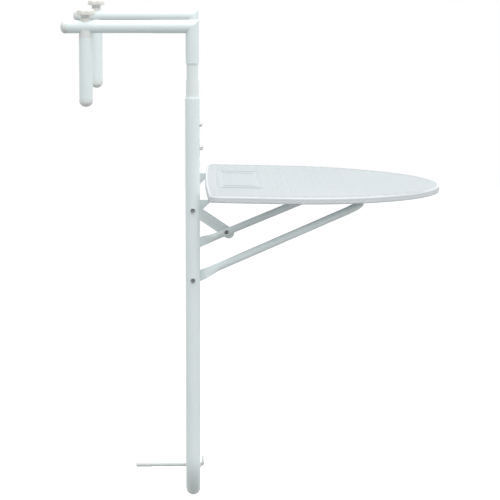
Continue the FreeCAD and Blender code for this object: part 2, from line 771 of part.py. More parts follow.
def tabletop():
    """The moulded top: a skin with a rim, ribs, screw bosses and four cradles that straddle the brace's
    front bar. Everything is drawn in the top's frame and tilted as one."""
    blank = new_body("board_blank")
    edge = new_sketch(blank, "XY_Plane", "board_edge", board_bottom)
    board_outline(edge, "0")
    feature(blank, "Pad", "board_slab", edge, "board_thickness")
    finish_rim(blank, "board_top_edge", "board_rise", "top_round")
    finish_rim(blank, "board_bottom_edge", board_bottom, "bottom_round")
    hollow = new_body("board_hollow")
    inside = new_sketch(hollow, "XY_Plane", "hollow_edge", f"{board_bottom} - 1")
    board_outline(inside, "board_wall")
    feature(hollow, "Pad", "hollow_space", inside, "board_thickness - board_skin + 1")
    rib_top = "(board_rise - board_skin / 2)"
    rib_tall = f"({rib_top} - {base_top})"
    ribs = []
    for index, x in enumerate(("-cradle_outer", "-cradle_inner", "0", "cradle_inner", "cradle_outer")):
        rib = box(f"rib_along_{index}", "rib_thickness", "board_depth", rib_tall)
        ribs.append(seat(rib, f"{x} - rib_thickness / 2", "-board_setback - board_depth", base_top))
    for index in range(int(number("rib_rows"))):
        rib = box(f"rib_across_{index}", "2 * rib_row_half", "rib_thickness", rib_tall)
        row_place = f"-(rib_row_first + {index} * rib_row_step) - rib_thickness / 2"
        ribs.append(seat(rib, "-rib_row_half", row_place, base_top))
    holes = []
    for name, x, y in boss_places():
        boss = cylinder(f"boss_{name}", "boss_diameter / 2", f"{rib_top} - {board_bottom}")
        ribs.append(seat(boss, x, y, board_bottom))
        hole = cylinder(f"boss_hole_{name}", "screw_diameter / 2", "screw_length + 1")
        holes.append(seat(hole, x, y, f"{board_bottom} - 1"))
    shell = cut("board_shell", blank, hollow)
    foot = f"({board_bottom} - cradle_below)"
    feet = cradle_blocks("cradle", foot, f"{rib_top} - {foot}")
    grip = "(brace_diameter / 2 + seat_clearance)"
    bar = cylinder("bar_space", grip, "2 * rib_row_half", "X")
    seat(bar, "-rib_row_half", "-cradle_reach", bar_level)
    way = box("bar_way", "2 * rib_row_half", "cradle_length", f"2 * {grip}")
    slant = "cradle_slant * 1deg"
    seat(
        way,
        "-rib_row_half",
        f"-cradle_reach - cradle_length * cos({slant}) + {grip} * sin({slant})",
        f"{bar_level} - cradle_length * sin({slant}) - {grip} * cos({slant})",
        turn=ABOUT_X,
        angle="cradle_slant",
    )
    trim = new_body("rib_limit")
    limit = new_sketch(trim, "XY_Plane", "rib_limit_edge", board_bottom)
    board_outline(limit, "board_wall / 2")
    feature(trim, "Pad", "rib_limit_slab", limit, "board_thickness")
    trimmed = doc.addObject("Part::Common", "trimmed_ribs")
    trimmed.Base = fuse("all_ribs", ribs)
    trimmed.Tool = trim
    body = fuse("board_body", [shell, trimmed] + feet)
    made = cut("tabletop", body, fuse("board_openings", [bar, way] + holes))
    parts.append(on_top(made, z="-hinge_drop"))


def board_base():
    """The sheet that closes the top underneath, let into the rim, with holes for bosses and cradles."""
    sheet_body = new_body("base_blank")
    edge = new_sketch(sheet_body, "XY_Plane", "base_edge", f"{board_bottom} + base_recess")
    board_outline(edge, "(board_wall + base_gap)")
    feature(sheet_body, "Pad", "base_plate", edge, "base_sheet")
    low = board_bottom
    holes = cradle_blocks("cradle_hole", low, "board_thickness", "base_gap")
    for name, x, y in boss_places():
        hole = cylinder(f"base_hole_{name}", "boss_diameter / 2 + base_gap", "board_thickness")
        holes.append(seat(hole, x, y, low))
    parts.append(on_top(cut("board_base", sheet_body, fuse("base_holes", holes)), z="-hinge_drop"))


def table_bracket(side, sign):
    """The bent plate under the top: a web with the hinge lug and a flange screwed to the bosses."""
    name = f"table_bracket_{side}"
    body = new_body(name)
    outer = f"({sign} * {bracket_outer_face})"
    web = new_sketch(body, "YZ_Plane", name + "_web_outline")
    ease = "(bracket_lug * sin(45deg))"
    outline(
        web,
        [
            (f"-{ease}", f"-{ease}"),
            (f"-({board_bottom} - bracket_thickness + 2 * {ease})", f"{board_bottom} - bracket_thickness"),
            ("-bracket_length", f"{board_bottom} - bracket_thickness"),
            ("-bracket_length", board_bottom),
            ("0", board_bottom),
            (ease, ease),
        ],
        {5: ("0", "0", False, "y")},
    )
    feature(body, "Pad", name + "_web", web, "bracket_thickness", middle=True)
    shift = f"{sign} * (bracket_thickness - bracket_flange) / 2"
    drill_radius = "(screw_diameter / 2 + bolt_clearance)"
    flange = new_sketch(body, "XY_Plane", name + "_flange_outline", f"{board_bottom} - bracket_thickness")
    near = f"{sign} * bracket_thickness / 2"
    far = f"({near} - {sign} * bracket_flange)"
    start = "-board_setback - 1"
    corners = [(near, start), (far, start), (far, "-bracket_length"), (near, "-bracket_length")]
    outline(flange, corners)
    feature(body, "Pad", name + "_flange", flange, "bracket_thickness")
    drill = new_sketch(body, "XY_Plane", name + "_screw_holes", f"{board_bottom} + 1")
    for index in range(3):
        circle(drill, shift, f"-(screw_first + {index} * screw_spacing)", drill_radius)
    feature(body, "Pocket", name + "_screw_drilling", drill, "bracket_thickness + 2")
    lug = new_sketch(body, "YZ_Plane", name + "_lug_hole", "bracket_thickness")
    circle(lug, "0", "0", bolt_hole_radius)
    feature(body, "Pocket", name + "_lug_drilling", lug, "2 * bracket_thickness")
    parts.append(on_top(body, f"{outer} - {sign} * bracket_thickness / 2", z="-hinge_drop"))


def bracket_screws():
    """Three pan-head screws up through each bracket into the top."""
    screws = []
    low = f"{board_bottom} - bracket_thickness"
    for place, x, y in boss_places():
        name = f"bracket_screw_{place}"
        shank = cylinder(name + "_shank", "screw_diameter / 2", "screw_length + bracket_thickness")
        head = cylinder(name + "_head", "screw_head_diameter / 2", "screw_head_height")
        seat(shank, x, y, low)
        seat(head, x, y, f"{low} - screw_head_height")
        screws.append(fuse(name, [shank, head]))
    parts.append(on_top(group("bracket_screws", screws), z="-hinge_drop"))


def head_corners(start, way):
    """The corners of a low bolt head with a broad bevel, from its top down to the face it stands on."""
    radius = "(bolt_head_diameter / 2)"
    tip = f"({start} + {way} * bolt_head_height)"
    middle = f"({start} + {way} * bolt_head_height / 2)"
    return [(tip, "0"), (tip, f"{radius} * bolt_crown_share"), (middle, radius), (start, radius)]


def hinge_set(name, drop, inner_face):
    """A bolt through each pole at one level, with its washer inside and its nut behind the hung
    piece, whose inner face is given."""
    bolts, nuts, washers = [], [], []
    for side, sign in SIDES:
        outer = f"(pole_half_gap + {pole_radius})"
        end = f"({inner_face} - face_gap - nut_height - 1)"
        head = head_corners(outer, "1")
        bolt = turned(
            f"{name}_bolt_{side}", "X", [(end, "0"), *head, (outer, bolt_radius), (end, bolt_radius)]
        )
        if side == "left":
            bolt.Placement = FreeCAD.Placement(FreeCAD.Vector(), HALF_TURN)
        bolts.append(seat(bolt, z=f"-{drop}"))
        washer = cylinder(f"{name}_washer_disc_{side}", "washer_diameter / 2", "washer_thickness", "X")
        bore = cylinder(f"{name}_washer_bore_{side}", bolt_hole_radius, "washer_thickness", "X")
        start = pole_inner_face if side == "left" else f"({pole_inner_face} - washer_thickness)"
        for piece in (washer, bore):
            seat(piece, f"{sign} * {start}", z=f"-{drop}")
        washers.append(cut(f"{name}_washer_{side}", washer, bore))
        blank = doc.addObject("Part::Prism", f"{name}_nut_blank_{side}")
        blank.Polygon = 6
        blank.setExpression("Circumradius", ref("nut_width / 2 / cos(30deg)"))
        blank.setExpression("Height", ref("nut_height"))
        hole = cylinder(f"{name}_nut_bore_{side}", f"{bolt_radius} + thread_clearance", "nut_height", "X")
        blank.Placement = hole.Placement
        near = f"({inner_face} - face_gap)" if side == "left" else f"({inner_face} - face_gap - nut_height)"
        for piece in (blank, hole):
            seat(piece, f"{sign} * {near}", z=f"-{drop}")
        nuts.append(cut(f"{name}_nut_{side}", blank, hole))
    parts.append(group(f"{name}_bolts", bolts))
    parts.append(group(f"{name}_washers", washers))
    parts.append(group(f"{name}_nuts", nuts))


def brace_frame():
    """The U-shaped brace: one tube bent into two legs and a front bar, each leg jogged inward and
    pressed flat at its pivot. Drawn flat with its legs along -Y, then tilted up to the cradles. The
    left half is drawn and mirrored."""
    body = new_body("brace_frame")
    half_bar = new_sketch(body, "XY_Plane", "brace_line")
    points = [
        (f"-{leg_half}", "-brace_jog_end"),
        (f"-{nose_half}", f"-{brace_length}"),
        ("0", f"-{brace_length}"),
    ]
    path(half_bar, points, "brace_bend")
    leg_splay = f"atan2(leg_taper; {brace_length} - brace_jog_end)"
    sections = []
    for name in ("brace_section", "leg_round"):
        section = new_sketch(body, "XZ_Plane", name)
        turn = FreeCAD.Rotation(ABOUT_Y, number(leg_splay))
        section.AttachmentOffset = FreeCAD.Placement(FreeCAD.Vector(), turn)
        section.setExpression("AttachmentOffset.Rotation.Angle", ref(leg_splay))
        section.setExpression("AttachmentOffset.Base.x", ref(f"-{leg_half}"))
        section.setExpression("AttachmentOffset.Base.z", ref("brace_jog_end"))
        sections.append(section)
    circle(sections[0], "0", "0", "brace_diameter / 2")
    circle(sections[0], "0", "0", "brace_diameter / 2 - brace_wall")
    tube = sweep(body, "brace_tube", sections[0], half_bar)
    quarter = "(brace_diameter / 2 * sin(45deg))"
    quarter_arcs = {index: ("0", "0", True, held) for index, held in enumerate("xyxy")}
    outline(sections[1], corners_of("0", quarter, quarter), quarter_arcs)
    flat = new_sketch(body, "XZ_Plane", "leg_flat", "brace_jog_start")
    outline(flat, corners_of(f"-{brace_end_middle}", "(brace_end_thickness / 2)", "(brace_end_height / 2)"))
    neck = body.newObject("PartDesign::AdditiveLoft", "leg_neck")
    neck.Profile = flat
    neck.Sections = [(sections[1], [""])]
    body.Tip = neck
    tongue = new_sketch(body, "YZ_Plane", "tongue_outline", f"-{brace_end_middle}")
    half = "(brace_end_height / 2)"
    stop = "(-brace_jog_start - 0.5)"
    outline(
        tongue,
        [("0", half), (stop, half), (stop, f"-{half}"), ("0", f"-{half}")],
        {3: ("0", "0", True, "x")},
    )
    tongue_plate = feature(body, "Pad", "tongue", tongue, "brace_end_thickness", middle=True)
    both = body.newObject("PartDesign::Mirrored", "both_halves")
    both.Originals = [tube, neck, tongue_plate]
    both.MirrorPlane = (plane_of(body, "YZ_Plane"), [""])
    body.Tip = both
    pivots = new_sketch(body, "YZ_Plane", "pivot_holes", "pole_half_gap")
    circle(pivots, "0", "0", bolt_hole_radius)
    feature(body, "Pocket", "pivot_drilling", pivots, "2 * pole_half_gap")
    stay = new_sketch(body, "YZ_Plane", "stay_pivot_hole", "pole_half_gap")
    circle(stay, "-stay_pivot", "0", bolt_hole_radius)
    feature(body, "Pocket", "stay_pivot_drilling", stay, "pole_half_gap / 2")
    parts.append(seat(body, z="-(hinge_drop + brace_drop)", turn=ABOUT_X, angle=f"-{brace_angle}"))


def at_pivot(piece, x):
    """Places a piece on the stay's pivot, on the right leg of the brace."""
    return seat(piece, x, f"-{pivot_run}", f"-(hinge_drop + brace_drop) + {pivot_climb}")


def stay_bolt():
    """The bolt through the right leg that the stay turns on, with its spacing washer and nut."""
    head_face = f"({leg_at_pivot} - brace_diameter / 2 - leg_slack)"
    end = f"({stay_outer_face} + face_gap + nut_height + 0.5)"
    profile = [(end, "0"), (end, bolt_radius), (head_face, bolt_radius)]
    profile += reversed(head_corners(head_face, "-1"))
    parts.append(at_pivot(turned("stay_bolt", "X", profile), "0"))
    face = f"({leg_at_pivot} + brace_diameter / 2 + leg_slack)"
    disc = at_pivot(cylinder("stay_washer_disc", "washer_diameter / 2 - 1", "stay_washer", "X"), face)
    bore = at_pivot(cylinder("stay_washer_bore", bolt_hole_radius, "stay_washer", "X"), face)
    parts.append(cut("stay_washer", disc, bore))
    blank = doc.addObject("Part::Prism", "stay_nut_blank")
    blank.Polygon = 6
    blank.setExpression("Circumradius", ref("nut_width / 2 / cos(30deg)"))
    blank.setExpression("Height", ref("nut_height"))
    hole = cylinder("stay_nut_bore", f"{bolt_radius} + thread_clearance", "nut_height", "X")
    blank.Placement = hole.Placement
    for piece in (blank, hole):
        at_pivot(piece, f"{stay_outer_face} + face_gap")
    parts.append(cut("stay_nut", blank, hole))


def locking_stay():
    """The flat bar that holds the brace up: it turns on the leg's bolt and hooks over the stud on the
    right pole. Drawn with its pivot at the origin and the hook towards +Y."""
    body = new_body("locking_stay")
    half = "(stay_width / 2)"
    tail = f"({stay_length} + stay_tail)"
    bar = new_sketch(body, "YZ_Plane", "stay_outline", stay_inner_face)
    outline(
        bar,
        [("-stay_nose", half), ("-stay_nose", f"-{half}"), (tail, f"-{half}"), (tail, half)],
        {0: ("-stay_nose", "0", True, "x"), 2: (tail, "0", True, "x")},
    )
    feature(body, "Pad", "stay_plate", bar, "stay_thickness")
    hole = new_sketch(body, "YZ_Plane", "stay_eye", f"{stay_outer_face} + 1")
    circle(hole, "0", "0", bolt_hole_radius)
    feature(body, "Pocket", "stay_eye_drilling", hole, "stay_thickness + 2")
    eye = new_sketch(body, "YZ_Plane", "hook_seat", f"{stay_outer_face} + 1")
    circle(eye, stay_length, "0", "hook_width / 2")
    feature(body, "Pocket", "hook_seat_cut", eye, "stay_thickness + 2")
    mouth = new_sketch(body, "YZ_Plane", "hook_mouth", f"{stay_outer_face} + 1")
    lean = "hook_slant * 1deg"
    across, down = f"hook_width / 2 * cos({lean})", f"hook_width / 2 * sin({lean})"
    run, fall = f"stay_width * sin({lean})", f"stay_width * cos({lean})"
    outline(
        mouth,
        [
            (f"{stay_length} - {across}", f"-({down})"),
            (f"{stay_length} - {across} + {run}", f"-({down}) - {fall}"),
            (f"{stay_length} + {across} + {run}", f"{down} - {fall}"),
            (f"{stay_length} + {across}", down),
        ],
    )
    feature(body, "Pocket", "hook_mouth_cut", mouth, "stay_thickness + 2")
    pivot_level = f"-(hinge_drop + brace_drop) + {pivot_climb}"
    parts.append(seat(body, "0", f"-{pivot_run}", pivot_level, turn=ABOUT_X, angle=stay_angle))


def stay_stud():
    """The shouldered stud on the right pole that the stay hooks over, with a flat inner head."""
    outer = f"(pole_half_gap + {pole_radius})"
    neck_start = f"({stay_outer_face} + seat_clearance)"
    neck_end = f"({stay_inner_face} - seat_clearance)"
    profile = [
        (f"{neck_end} - 2", "0"),
        *head_corners(outer, "1"),
        (outer, bolt_radius),
        (pole_inner_face, bolt_radius),
        (pole_inner_face, "bolt_diameter * 3 / 4"),
        (neck_start, "bolt_diameter * 3 / 4"),
        (neck_start, bolt_radius),
        (neck_end, bolt_radius),
        (neck_end, "bolt_head_diameter / 2 + 1"),
        (f"{neck_end} - 2", "bolt_head_diameter / 2 + 1"),
    ]
    stud = turned("stay_stud", "X", profile)
    parts.append(seat(stud, z="-(hinge_drop + stud_drop)"))


def spacer_rod():
    """The rod through the bottom crossbar that holds the frame off the railing, bent up into a small
    handle in front, with a plastic tip behind and two flanged bushes in the crossbar."""
    body = new_body("spacer_rod")
    spine = new_sketch(body, "YZ_Plane", "rod_line")
    path(spine, [("rod_length", "0"), ("-rod_front", "0"), ("-rod_front", "rod_handle")], "rod_bend")
    section = new_sketch(body, "XZ_Plane", "rod_section", "-rod_length")
    circle(section, "0", "0", "rod_diameter / 2")
    sweep(body, "rod_bar", section, spine)
    parts.append(seat(body, z="-frame_drop"))
    end = "(tip_start + tip_length)"
    tip = turned(
        "rod_tip",
        "Y",
        [
            ("rod_length", "0"),
            (end, "0"),
            (end, "tip_diameter / 2 - 1"),
            (f"{end} - 1", "tip_diameter / 2"),
            ("tip_start", "tip_diameter / 2"),
            ("tip_start", "rod_diameter / 2"),
            ("rod_length", "rod_diameter / 2"),
        ],
    )
    parts.append(seat(tip, z="-frame_drop"))
    bushes = []
    for name in ("back", "front"):
        inside, outside = f"({pole_radius} - bush_depth)", pole_radius
        flange_end = f"({outside} + bush_flange_thickness)"
        bore = "(rod_diameter / 2 + thread_clearance)"
        bush = turned(
            f"rod_bush_{name}",
            "Y",
            [
                (inside, bore),
                (flange_end, bore),
                (flange_end, "bush_flange / 2"),
                (outside, "bush_flange / 2"),
                (outside, "bush_diameter / 2"),
                (inside, "bush_diameter / 2"),
            ],
        )
        if name == "front":
            bush.Placement = FreeCAD.Placement(FreeCAD.Vector(), HALF_TURN)
        bushes.append(seat(bush, z="-frame_drop"))
    parts.append(group("rod_bushes", bushes))


u_frame()
for side, sign in SIDES:
    for make in (
        hook_arm,
        inner_tube,
        arm_cap,
        snap_button,
        snap_spring,
        drop_tube,
        drop_cap,
        saddle,
        clamp_nut,
        pressure_pad,
        knob,
        clamp_stud,
        table_bracket,
    ):
        make(side, sign)
tabletop()
board_base()
bracket_screws()
hinge_set("table_hinge", "hinge_drop", f"({bracket_outer_face} - bracket_thickness)")
hinge_set("brace_hinge", "(hinge_drop + brace_drop)", f"({brace_end_middle} - brace_end_thickness / 2)")
brace_frame()
stay_bolt()
locking_stay()
stay_stud()
spacer_rod()

doc.recompute()
broken = [item.Name for item in doc.Objects if "Invalid" in item.State or "Error" in item.State]
if broken:
    raise RuntimeError(f"did not build: {broken}")
os.makedirs("parts", exist_ok=True)
for piece in parts:
    shape = piece.Shape
    if shape.isNull() or not shape.isValid():
        raise RuntimeError(f"{piece.Label} has no valid shape")
    shape.exportStep(f"parts/{piece.Label}.step")
    print(f"{piece.Label:24s} solids {len(shape.Solids)} volume {shape.Volume:12.1f} mm3")
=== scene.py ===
import bpy
import bmesh
import math
from mathutils import Matrix, Vector


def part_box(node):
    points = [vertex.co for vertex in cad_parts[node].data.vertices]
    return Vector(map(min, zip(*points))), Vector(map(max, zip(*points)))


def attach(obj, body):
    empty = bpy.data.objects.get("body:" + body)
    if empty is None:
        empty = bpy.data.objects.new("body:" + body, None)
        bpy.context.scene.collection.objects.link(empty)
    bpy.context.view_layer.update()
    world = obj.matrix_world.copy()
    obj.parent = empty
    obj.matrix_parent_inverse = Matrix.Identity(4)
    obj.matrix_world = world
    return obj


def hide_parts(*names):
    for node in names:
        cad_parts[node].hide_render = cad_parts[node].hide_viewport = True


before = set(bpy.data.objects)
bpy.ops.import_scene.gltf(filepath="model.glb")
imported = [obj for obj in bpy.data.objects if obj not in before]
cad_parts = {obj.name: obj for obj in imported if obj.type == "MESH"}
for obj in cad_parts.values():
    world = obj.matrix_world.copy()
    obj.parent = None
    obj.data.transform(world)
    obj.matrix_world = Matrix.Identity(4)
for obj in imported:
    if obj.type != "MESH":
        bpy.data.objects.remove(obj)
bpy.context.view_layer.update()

# Steel tubes: 24 mm frame, 22 mm hook arms and drop tubes, 13 mm brace, bent, mitred and pressed flat,
# then powder coated in one cool white with a faint orange peel and a satin gloss.

SIDES = ("left", "right")


class Wire:
    """A node's output that can be added, taken away and multiplied."""

    def __init__(self, net, socket):
        self.net = net
        self.socket = socket

    def with_other(self, operation, other):
        return self.net.node("ShaderNodeMath", {"operation": operation}, {0: self, 1: other})

    def __add__(self, other):
        return self.with_other("ADD", other)

    def __sub__(self, other):
        return self.with_other("SUBTRACT", other)

    def __mul__(self, other):
        return self.with_other("MULTIPLY", other)

    __radd__ = __add__
    __rmul__ = __mul__


class Net:
    """A tree of shader or geometry nodes, where every node comes from one method."""

    def __init__(self, tree):
        self.tree = tree

    def node(self, kind, settings=None, values=None, out=0):
        """Makes a node from its settings and its inputs' values or wires, and gives one of its outputs."""
        made = self.tree.nodes.new(kind)
        for setting, value in (settings or {}).items():
            setattr(made, setting, value)
        for socket, value in (values or {}).items():
            if isinstance(value, Wire):
                self.tree.links.new(value.socket, made.inputs[socket])
            else:
                made.inputs[socket].default_value = value
        return Wire(self, made.outputs[out]) if made.outputs else None


class Finish(Net):
    """A material on the plain shader, with patterns read from the place on the object."""

    def __init__(self, name, **constants):
        self.material = bpy.data.materials.new(name)
        self.material.use_nodes = True
        super().__init__(self.material.node_tree)
        self.shader = self.tree.nodes["Principled BSDF"]
        for socket, value in constants.items():
            self.shader.inputs[socket].default_value = value
        self.place = self.node("ShaderNodeTexCoord", out="Object")

    def drive(self, socket, wire):
        self.tree.links.new(wire.socket, self.shader.inputs[socket])

    def noise(self, scale, detail, stretch=(1, 1, 1)):
        stretching = {0: self.place, 1: stretch}
        stretched = self.node("ShaderNodeVectorMath", {"operation": "MULTIPLY"}, stretching)
        values = {"Vector": stretched, "Scale": scale, "Detail": detail}
        return self.node("ShaderNodeTexNoise", None, values)

    def between(self, factor, low, high):
        """One colour turning into another as the factor goes from 0 to 1."""
        low, high = (colour if isinstance(colour, Wire) else (*colour, 1) for colour in (low, high))
        # The node keeps sockets for numbers and vectors too; these are the ones for colours.
        factor_in, low_in, high_in, colour_out = 0, 6, 7, 2
        values = {factor_in: factor, low_in: low, high_in: high}
        return self.node("ShaderNodeMix", {"data_type": "RGBA"}, values, colour_out)

    def ramp(self, wire, start, end):
        """0 below start, 1 above end."""
        return self.node("ShaderNodeMapRange", None, {"Value": wire, "From Min": start, "From Max": end})

    def along(self, origin, direction):
        """How far the place on the object lies from an origin, along a direction."""
        offset = self.node("ShaderNodeVectorMath", {"operation": "SUBTRACT"}, {0: self.place, 1: origin})
        pair = {0: offset, 1: direction}
        return self.node("ShaderNodeVectorMath", {"operation": "DOT_PRODUCT"}, pair, "Value")

    def stripes(self, origin, across, pitch):
        """A wave from 0 to 1 over the place on the object, along one direction."""
        phase = self.along(origin, tuple(part * math.tau / pitch for part in across))
        return 0.5 + 0.5 * self.node("ShaderNodeMath", {"operation": "COSINE"}, {0: phase})

    def bump(self, height, depth):
        """Raises the surface by a wire from 0 to 1, times the depth in metres."""
        self.drive("Normal", self.node("ShaderNodeBump", None, {"Height": height, "Distance": depth}))


def powder_coat(name, pale, dull):
    """Powder coat between two near tones, with orange peel and faint rubbed patches."""
    coat = Finish(name, IOR=1.5)
    cloud = coat.noise(14, 3)
    coat.drive("Base Color", coat.between(coat.ramp(cloud, 0.3, 0.7), pale, dull))
    rub = coat.ramp(coat.noise(60, 4), 0.55, 0.75)
    coat.drive("Roughness", 0.36 + 0.08 * cloud - 0.06 * rub)
    coat.bump(coat.noise(900, 1), 0.00004)
    return coat.material


def dress(material, *nodes):
    """Gives CAD nodes a finish."""
    for node in nodes:
        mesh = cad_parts[node].data
        mesh.materials.clear()
        mesh.materials.append(material)


def both(*stems):
    """The names of nodes that the table has on both its sides."""
    return [f"{stem}_{side}" for stem in stems for side in SIDES]


tube_coat = powder_coat("tube_powder_coat", (0.78, 0.86, 0.86), (0.75, 0.835, 0.84))
dress(tube_coat, "u_frame", "brace_frame", *both("hook_arm", "drop_tube", "table_bracket"))
inner_coat = powder_coat("inner_tube_coat", (0.79, 0.86, 0.85), (0.76, 0.835, 0.825))
dress(inner_coat, *both("inner_tube"))

# Locking stay: a flat steel bar rolled with shallow grooves along its length, in the same coat. It turns
# on a bolt in the brace's right leg and hooks over a stud on the pole.

stay = Finish("stay_coat", IOR=1.5)
stay_corner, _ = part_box("locking_stay")
stay_slope, groove_pitch = math.radians(34.06), 0.0048
# The grooves' colour carries painted shade in their troughs and a painted highlight on their ridges, along
# with their bump.
groove_relief_and_shade = stay.stripes(stay_corner, (0, -math.sin(stay_slope), math.cos(stay_slope)), groove_pitch)
cloud = stay.ramp(stay.noise(14, 3), 0.3, 0.7)
shade = 0.75 * groove_relief_and_shade + 0.25 * cloud
stay.drive("Base Color", stay.between(shade, (0.71, 0.785, 0.79), (0.79, 0.865, 0.865)))
stay.drive("Roughness", 0.34 + 0.1 * cloud)
stay.bump(groove_relief_and_shade, 0.0003)
dress(stay.material, "locking_stay")

# Saddles, rod tip and bushes: injection-moulded plastic, a little greyer and warmer than the coat, with a
# fine matt sandblast from the mould. The end caps and the knobs' hubs are of it too. Washers: plain nylon.


def moulded(name, pale, dull, grain, roughness):
    """Plastic in faint clouds of two near tones, with the fine grain of its mould."""
    plastic = Finish(name, IOR=1.46)
    cloud = plastic.noise(30, 2)
    plastic.drive("Base Color", plastic.between(plastic.ramp(cloud, 0.35, 0.65), pale, dull))
    plastic.drive("Roughness", roughness + 0.08 * plastic.noise(400, 2))
    plastic.bump(plastic.noise(grain, 2), 0.00005)
    return plastic.material


cap_plastic = moulded("cap_plastic", (0.76, 0.795, 0.785), (0.71, 0.745, 0.735), 1400, 0.42)
dress(cap_plastic, "rod_tip", "rod_bushes", *both("saddle"))
nylon = moulded("washer_nylon", (0.70, 0.70, 0.67), (0.66, 0.66, 0.63), 700, 0.45)
dress(nylon, "table_hinge_washers", "brace_hinge_washers", "stay_washer")

# Small steel: nuts, the stay's stud, bracket screws and clamp screws, bright zinc with a brushed grain;
# blued springs and turned brass inserts inside the tubes.


def metal(name, bright, dull, roughness, grain, bare=1):
    """Bare metal, or a dull non-metal where bare is 0, with scratches that are finer along X by the grain.
    """
    steel = Finish(name, Metallic=bare)
    cloud = steel.noise(120, 3)
    steel.drive("Base Color", steel.between(steel.ramp(cloud, 0.3, 0.7), bright, dull))
    scratches = steel.noise(400, 2, (grain, 1, 1))
    steel.drive("Roughness", roughness + 0.2 * scratches)
    steel.bump(scratches, 0.00002)
    return steel.material


zinc = metal("zinc_steel", (0.60, 0.61, 0.62), (0.46, 0.47, 0.48), 0.22, 6)
dress(zinc, "table_hinge_nuts", "brace_hinge_nuts", "stay_nut", "stay_stud", "bracket_screws")
dress(zinc, *both("clamp_stud"))
dress(metal("spring_steel", (0.20, 0.21, 0.24), (0.13, 0.14, 0.17), 0.25, 2), *both("snap_spring"))
dress(metal("insert_brass", (0.72, 0.53, 0.24), (0.60, 0.42, 0.18), 0.25, 4), *both("clamp_nut"))

# Bolts of the hinges and the stay: low round heads with a hexagon socket in a wide countersink, zinc
# plated, put in from the outside through the tube, their threaded ends in the nuts. The recess has painted
# shade: a dark, dull colour.


class Growth(Net):
    """A tree of geometry nodes with named inputs for its sizes, grown on a seed mesh."""

    def __init__(self, name, kinds):
        super().__init__(bpy.data.node_groups.new(name, "GeometryNodeTree"))
        kinds = {"Seed": "Geometry", **kinds}
        face = self.tree.interface
        for title, kind in kinds.items():
            face.new_socket(title, in_out="INPUT", socket_type="NodeSocket" + kind)
        face.new_socket("Grown", in_out="OUTPUT", socket_type="NodeSocketGeometry")
        self.given = {title: self.node("NodeGroupInput", out=title) for title in kinds}

    def number(self, title):
        """The number that the mesh carries under a title."""
        return self.node("GeometryNodeInputNamedAttribute", {"data_type": "FLOAT"}, {"Name": title})

    def close(self, grown, material, where=True):
        """Ends the tree in real geometry with its material, on the faces that are asked for."""
        real = self.node("GeometryNodeRealizeInstances", None, {"Geometry": grown})
        wanted = {"Geometry": real, "Selection": where, "Material": material}
        self.node("NodeGroupOutput", None, {"Grown": self.node("GeometryNodeSetMaterial", None, wanted)})

    def grow(self, name, seed, values):
        """The plain mesh that the tree grows on a seed, as a new object."""
        holder = bpy.data.objects.new(name + "_seed", seed)
        bpy.context.scene.collection.objects.link(holder)
        modifier = holder.modifiers.new(name, "NODES")
        modifier.node_group = self.tree
        for item in self.tree.interface.items_tree:
            if item.name in values:
                modifier[item.identifier] = values[item.name]
        depsgraph = bpy.context.evaluated_depsgraph_get()
        grown = holder.evaluated_get(depsgraph)
        mesh = bpy.data.meshes.new_from_object(grown, preserve_all_data_layers=True, depsgraph=depsgraph)
        bpy.data.objects.remove(holder)
        return placed(name, mesh)


def placed(name, mesh):
    """A new object in the scene."""
    piece = bpy.data.objects.new(name, mesh)
    mesh.name = name
    bpy.context.scene.collection.objects.link(piece)
    return piece


def seed_of(name, points, edges=(), **attributes):
    """A mesh of loose points or edges, with a number at each point for every attribute."""
    mesh = bpy.data.meshes.new(name)
    mesh.from_pydata(points, edges, [])
    for title, numbers in attributes.items():
        mesh.attributes.new(title, "FLOAT", "POINT").data.foreach_set("value", numbers)
    return mesh


def turned_mesh(name, rings, count, material):
    """A closed shell round Z through rings of (radius, height), where a radius may depend on the turn.

    The first and the last ring are single points.
    """
    points = [(0, 0, rings[0][1])]
    for radius_of, height in rings[1:-1]:
        for k in range(count):
            turn = math.tau * k / count
            radius = radius_of(turn) if callable(radius_of) else radius_of
            points.append((radius * math.cos(turn), radius * math.sin(turn), height))
    points.append((0, 0, rings[-1][1]))
    last = len(points) - 1
    top = last - count
    faces = [(0, 1 + (k + 1) % count, 1 + k) for k in range(count)]
    for low in range(1, top, count):
        high = low + count
        faces += [(low + k, low + (k + 1) % count, high + (k + 1) % count, high + k) for k in range(count)]
    faces += [(top + k, top + (k + 1) % count, last) for k in range(count)]
    mesh = bpy.data.meshes.new(name)
    mesh.from_pydata(points, [], faces)
    mesh.materials.append(material)
    return mesh


def smooth(mesh, limit=35):
    """Smooth shading that keeps the edges sharper than the limit, in degrees."""
    work = bmesh.new()
    work.from_mesh(mesh)
    for face in work.faces:
        face.smooth = True
    for edge in work.edges:
        edge.smooth = len(edge.link_faces) < 2 or edge.calc_face_angle(0) < math.radians(limit)
    work.to_mesh(mesh)
    work.free()
    return mesh


def box_of(node):
    """Low corner, middle and high corner of a CAD node's box."""
    low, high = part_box(node)
    return low, [(a + b) / 2 for a, b in zip(low, high)], high


# Metres. The socket's half width is across its flats; its mouth and floor lie below the head's top.
bolt = {"head": 0.0045, "height": 0.0032, "round": 0.0003, "shank": 0.003, "chamfer": 0.0004, "sides": 48}
bolt_socket = {"half": 0.0021, "mouth": 0.0017, "floor": 0.003, "turn": 0.4}
# Shares of the head's radius and height, from its side to the rim of the countersink.
bolt_dome = [(0.985, 0.45), (0.95, 0.68), (0.9, 0.86), (0.85, 0.96), (0.8, 1)]
# The socket's recess: a dark, dull non-metal colour that stands in for the shade in it, painted shade.
socket_shade = metal("socket_dull_oxide", (0.30, 0.33, 0.33), (0.23, 0.26, 0.26), 0.5, 3, 0)


def hexagon(turn):
    """The socket's radius in a direction."""
    return bolt_socket["half"] / math.cos((turn % (math.pi / 3)) - math.pi / 6)


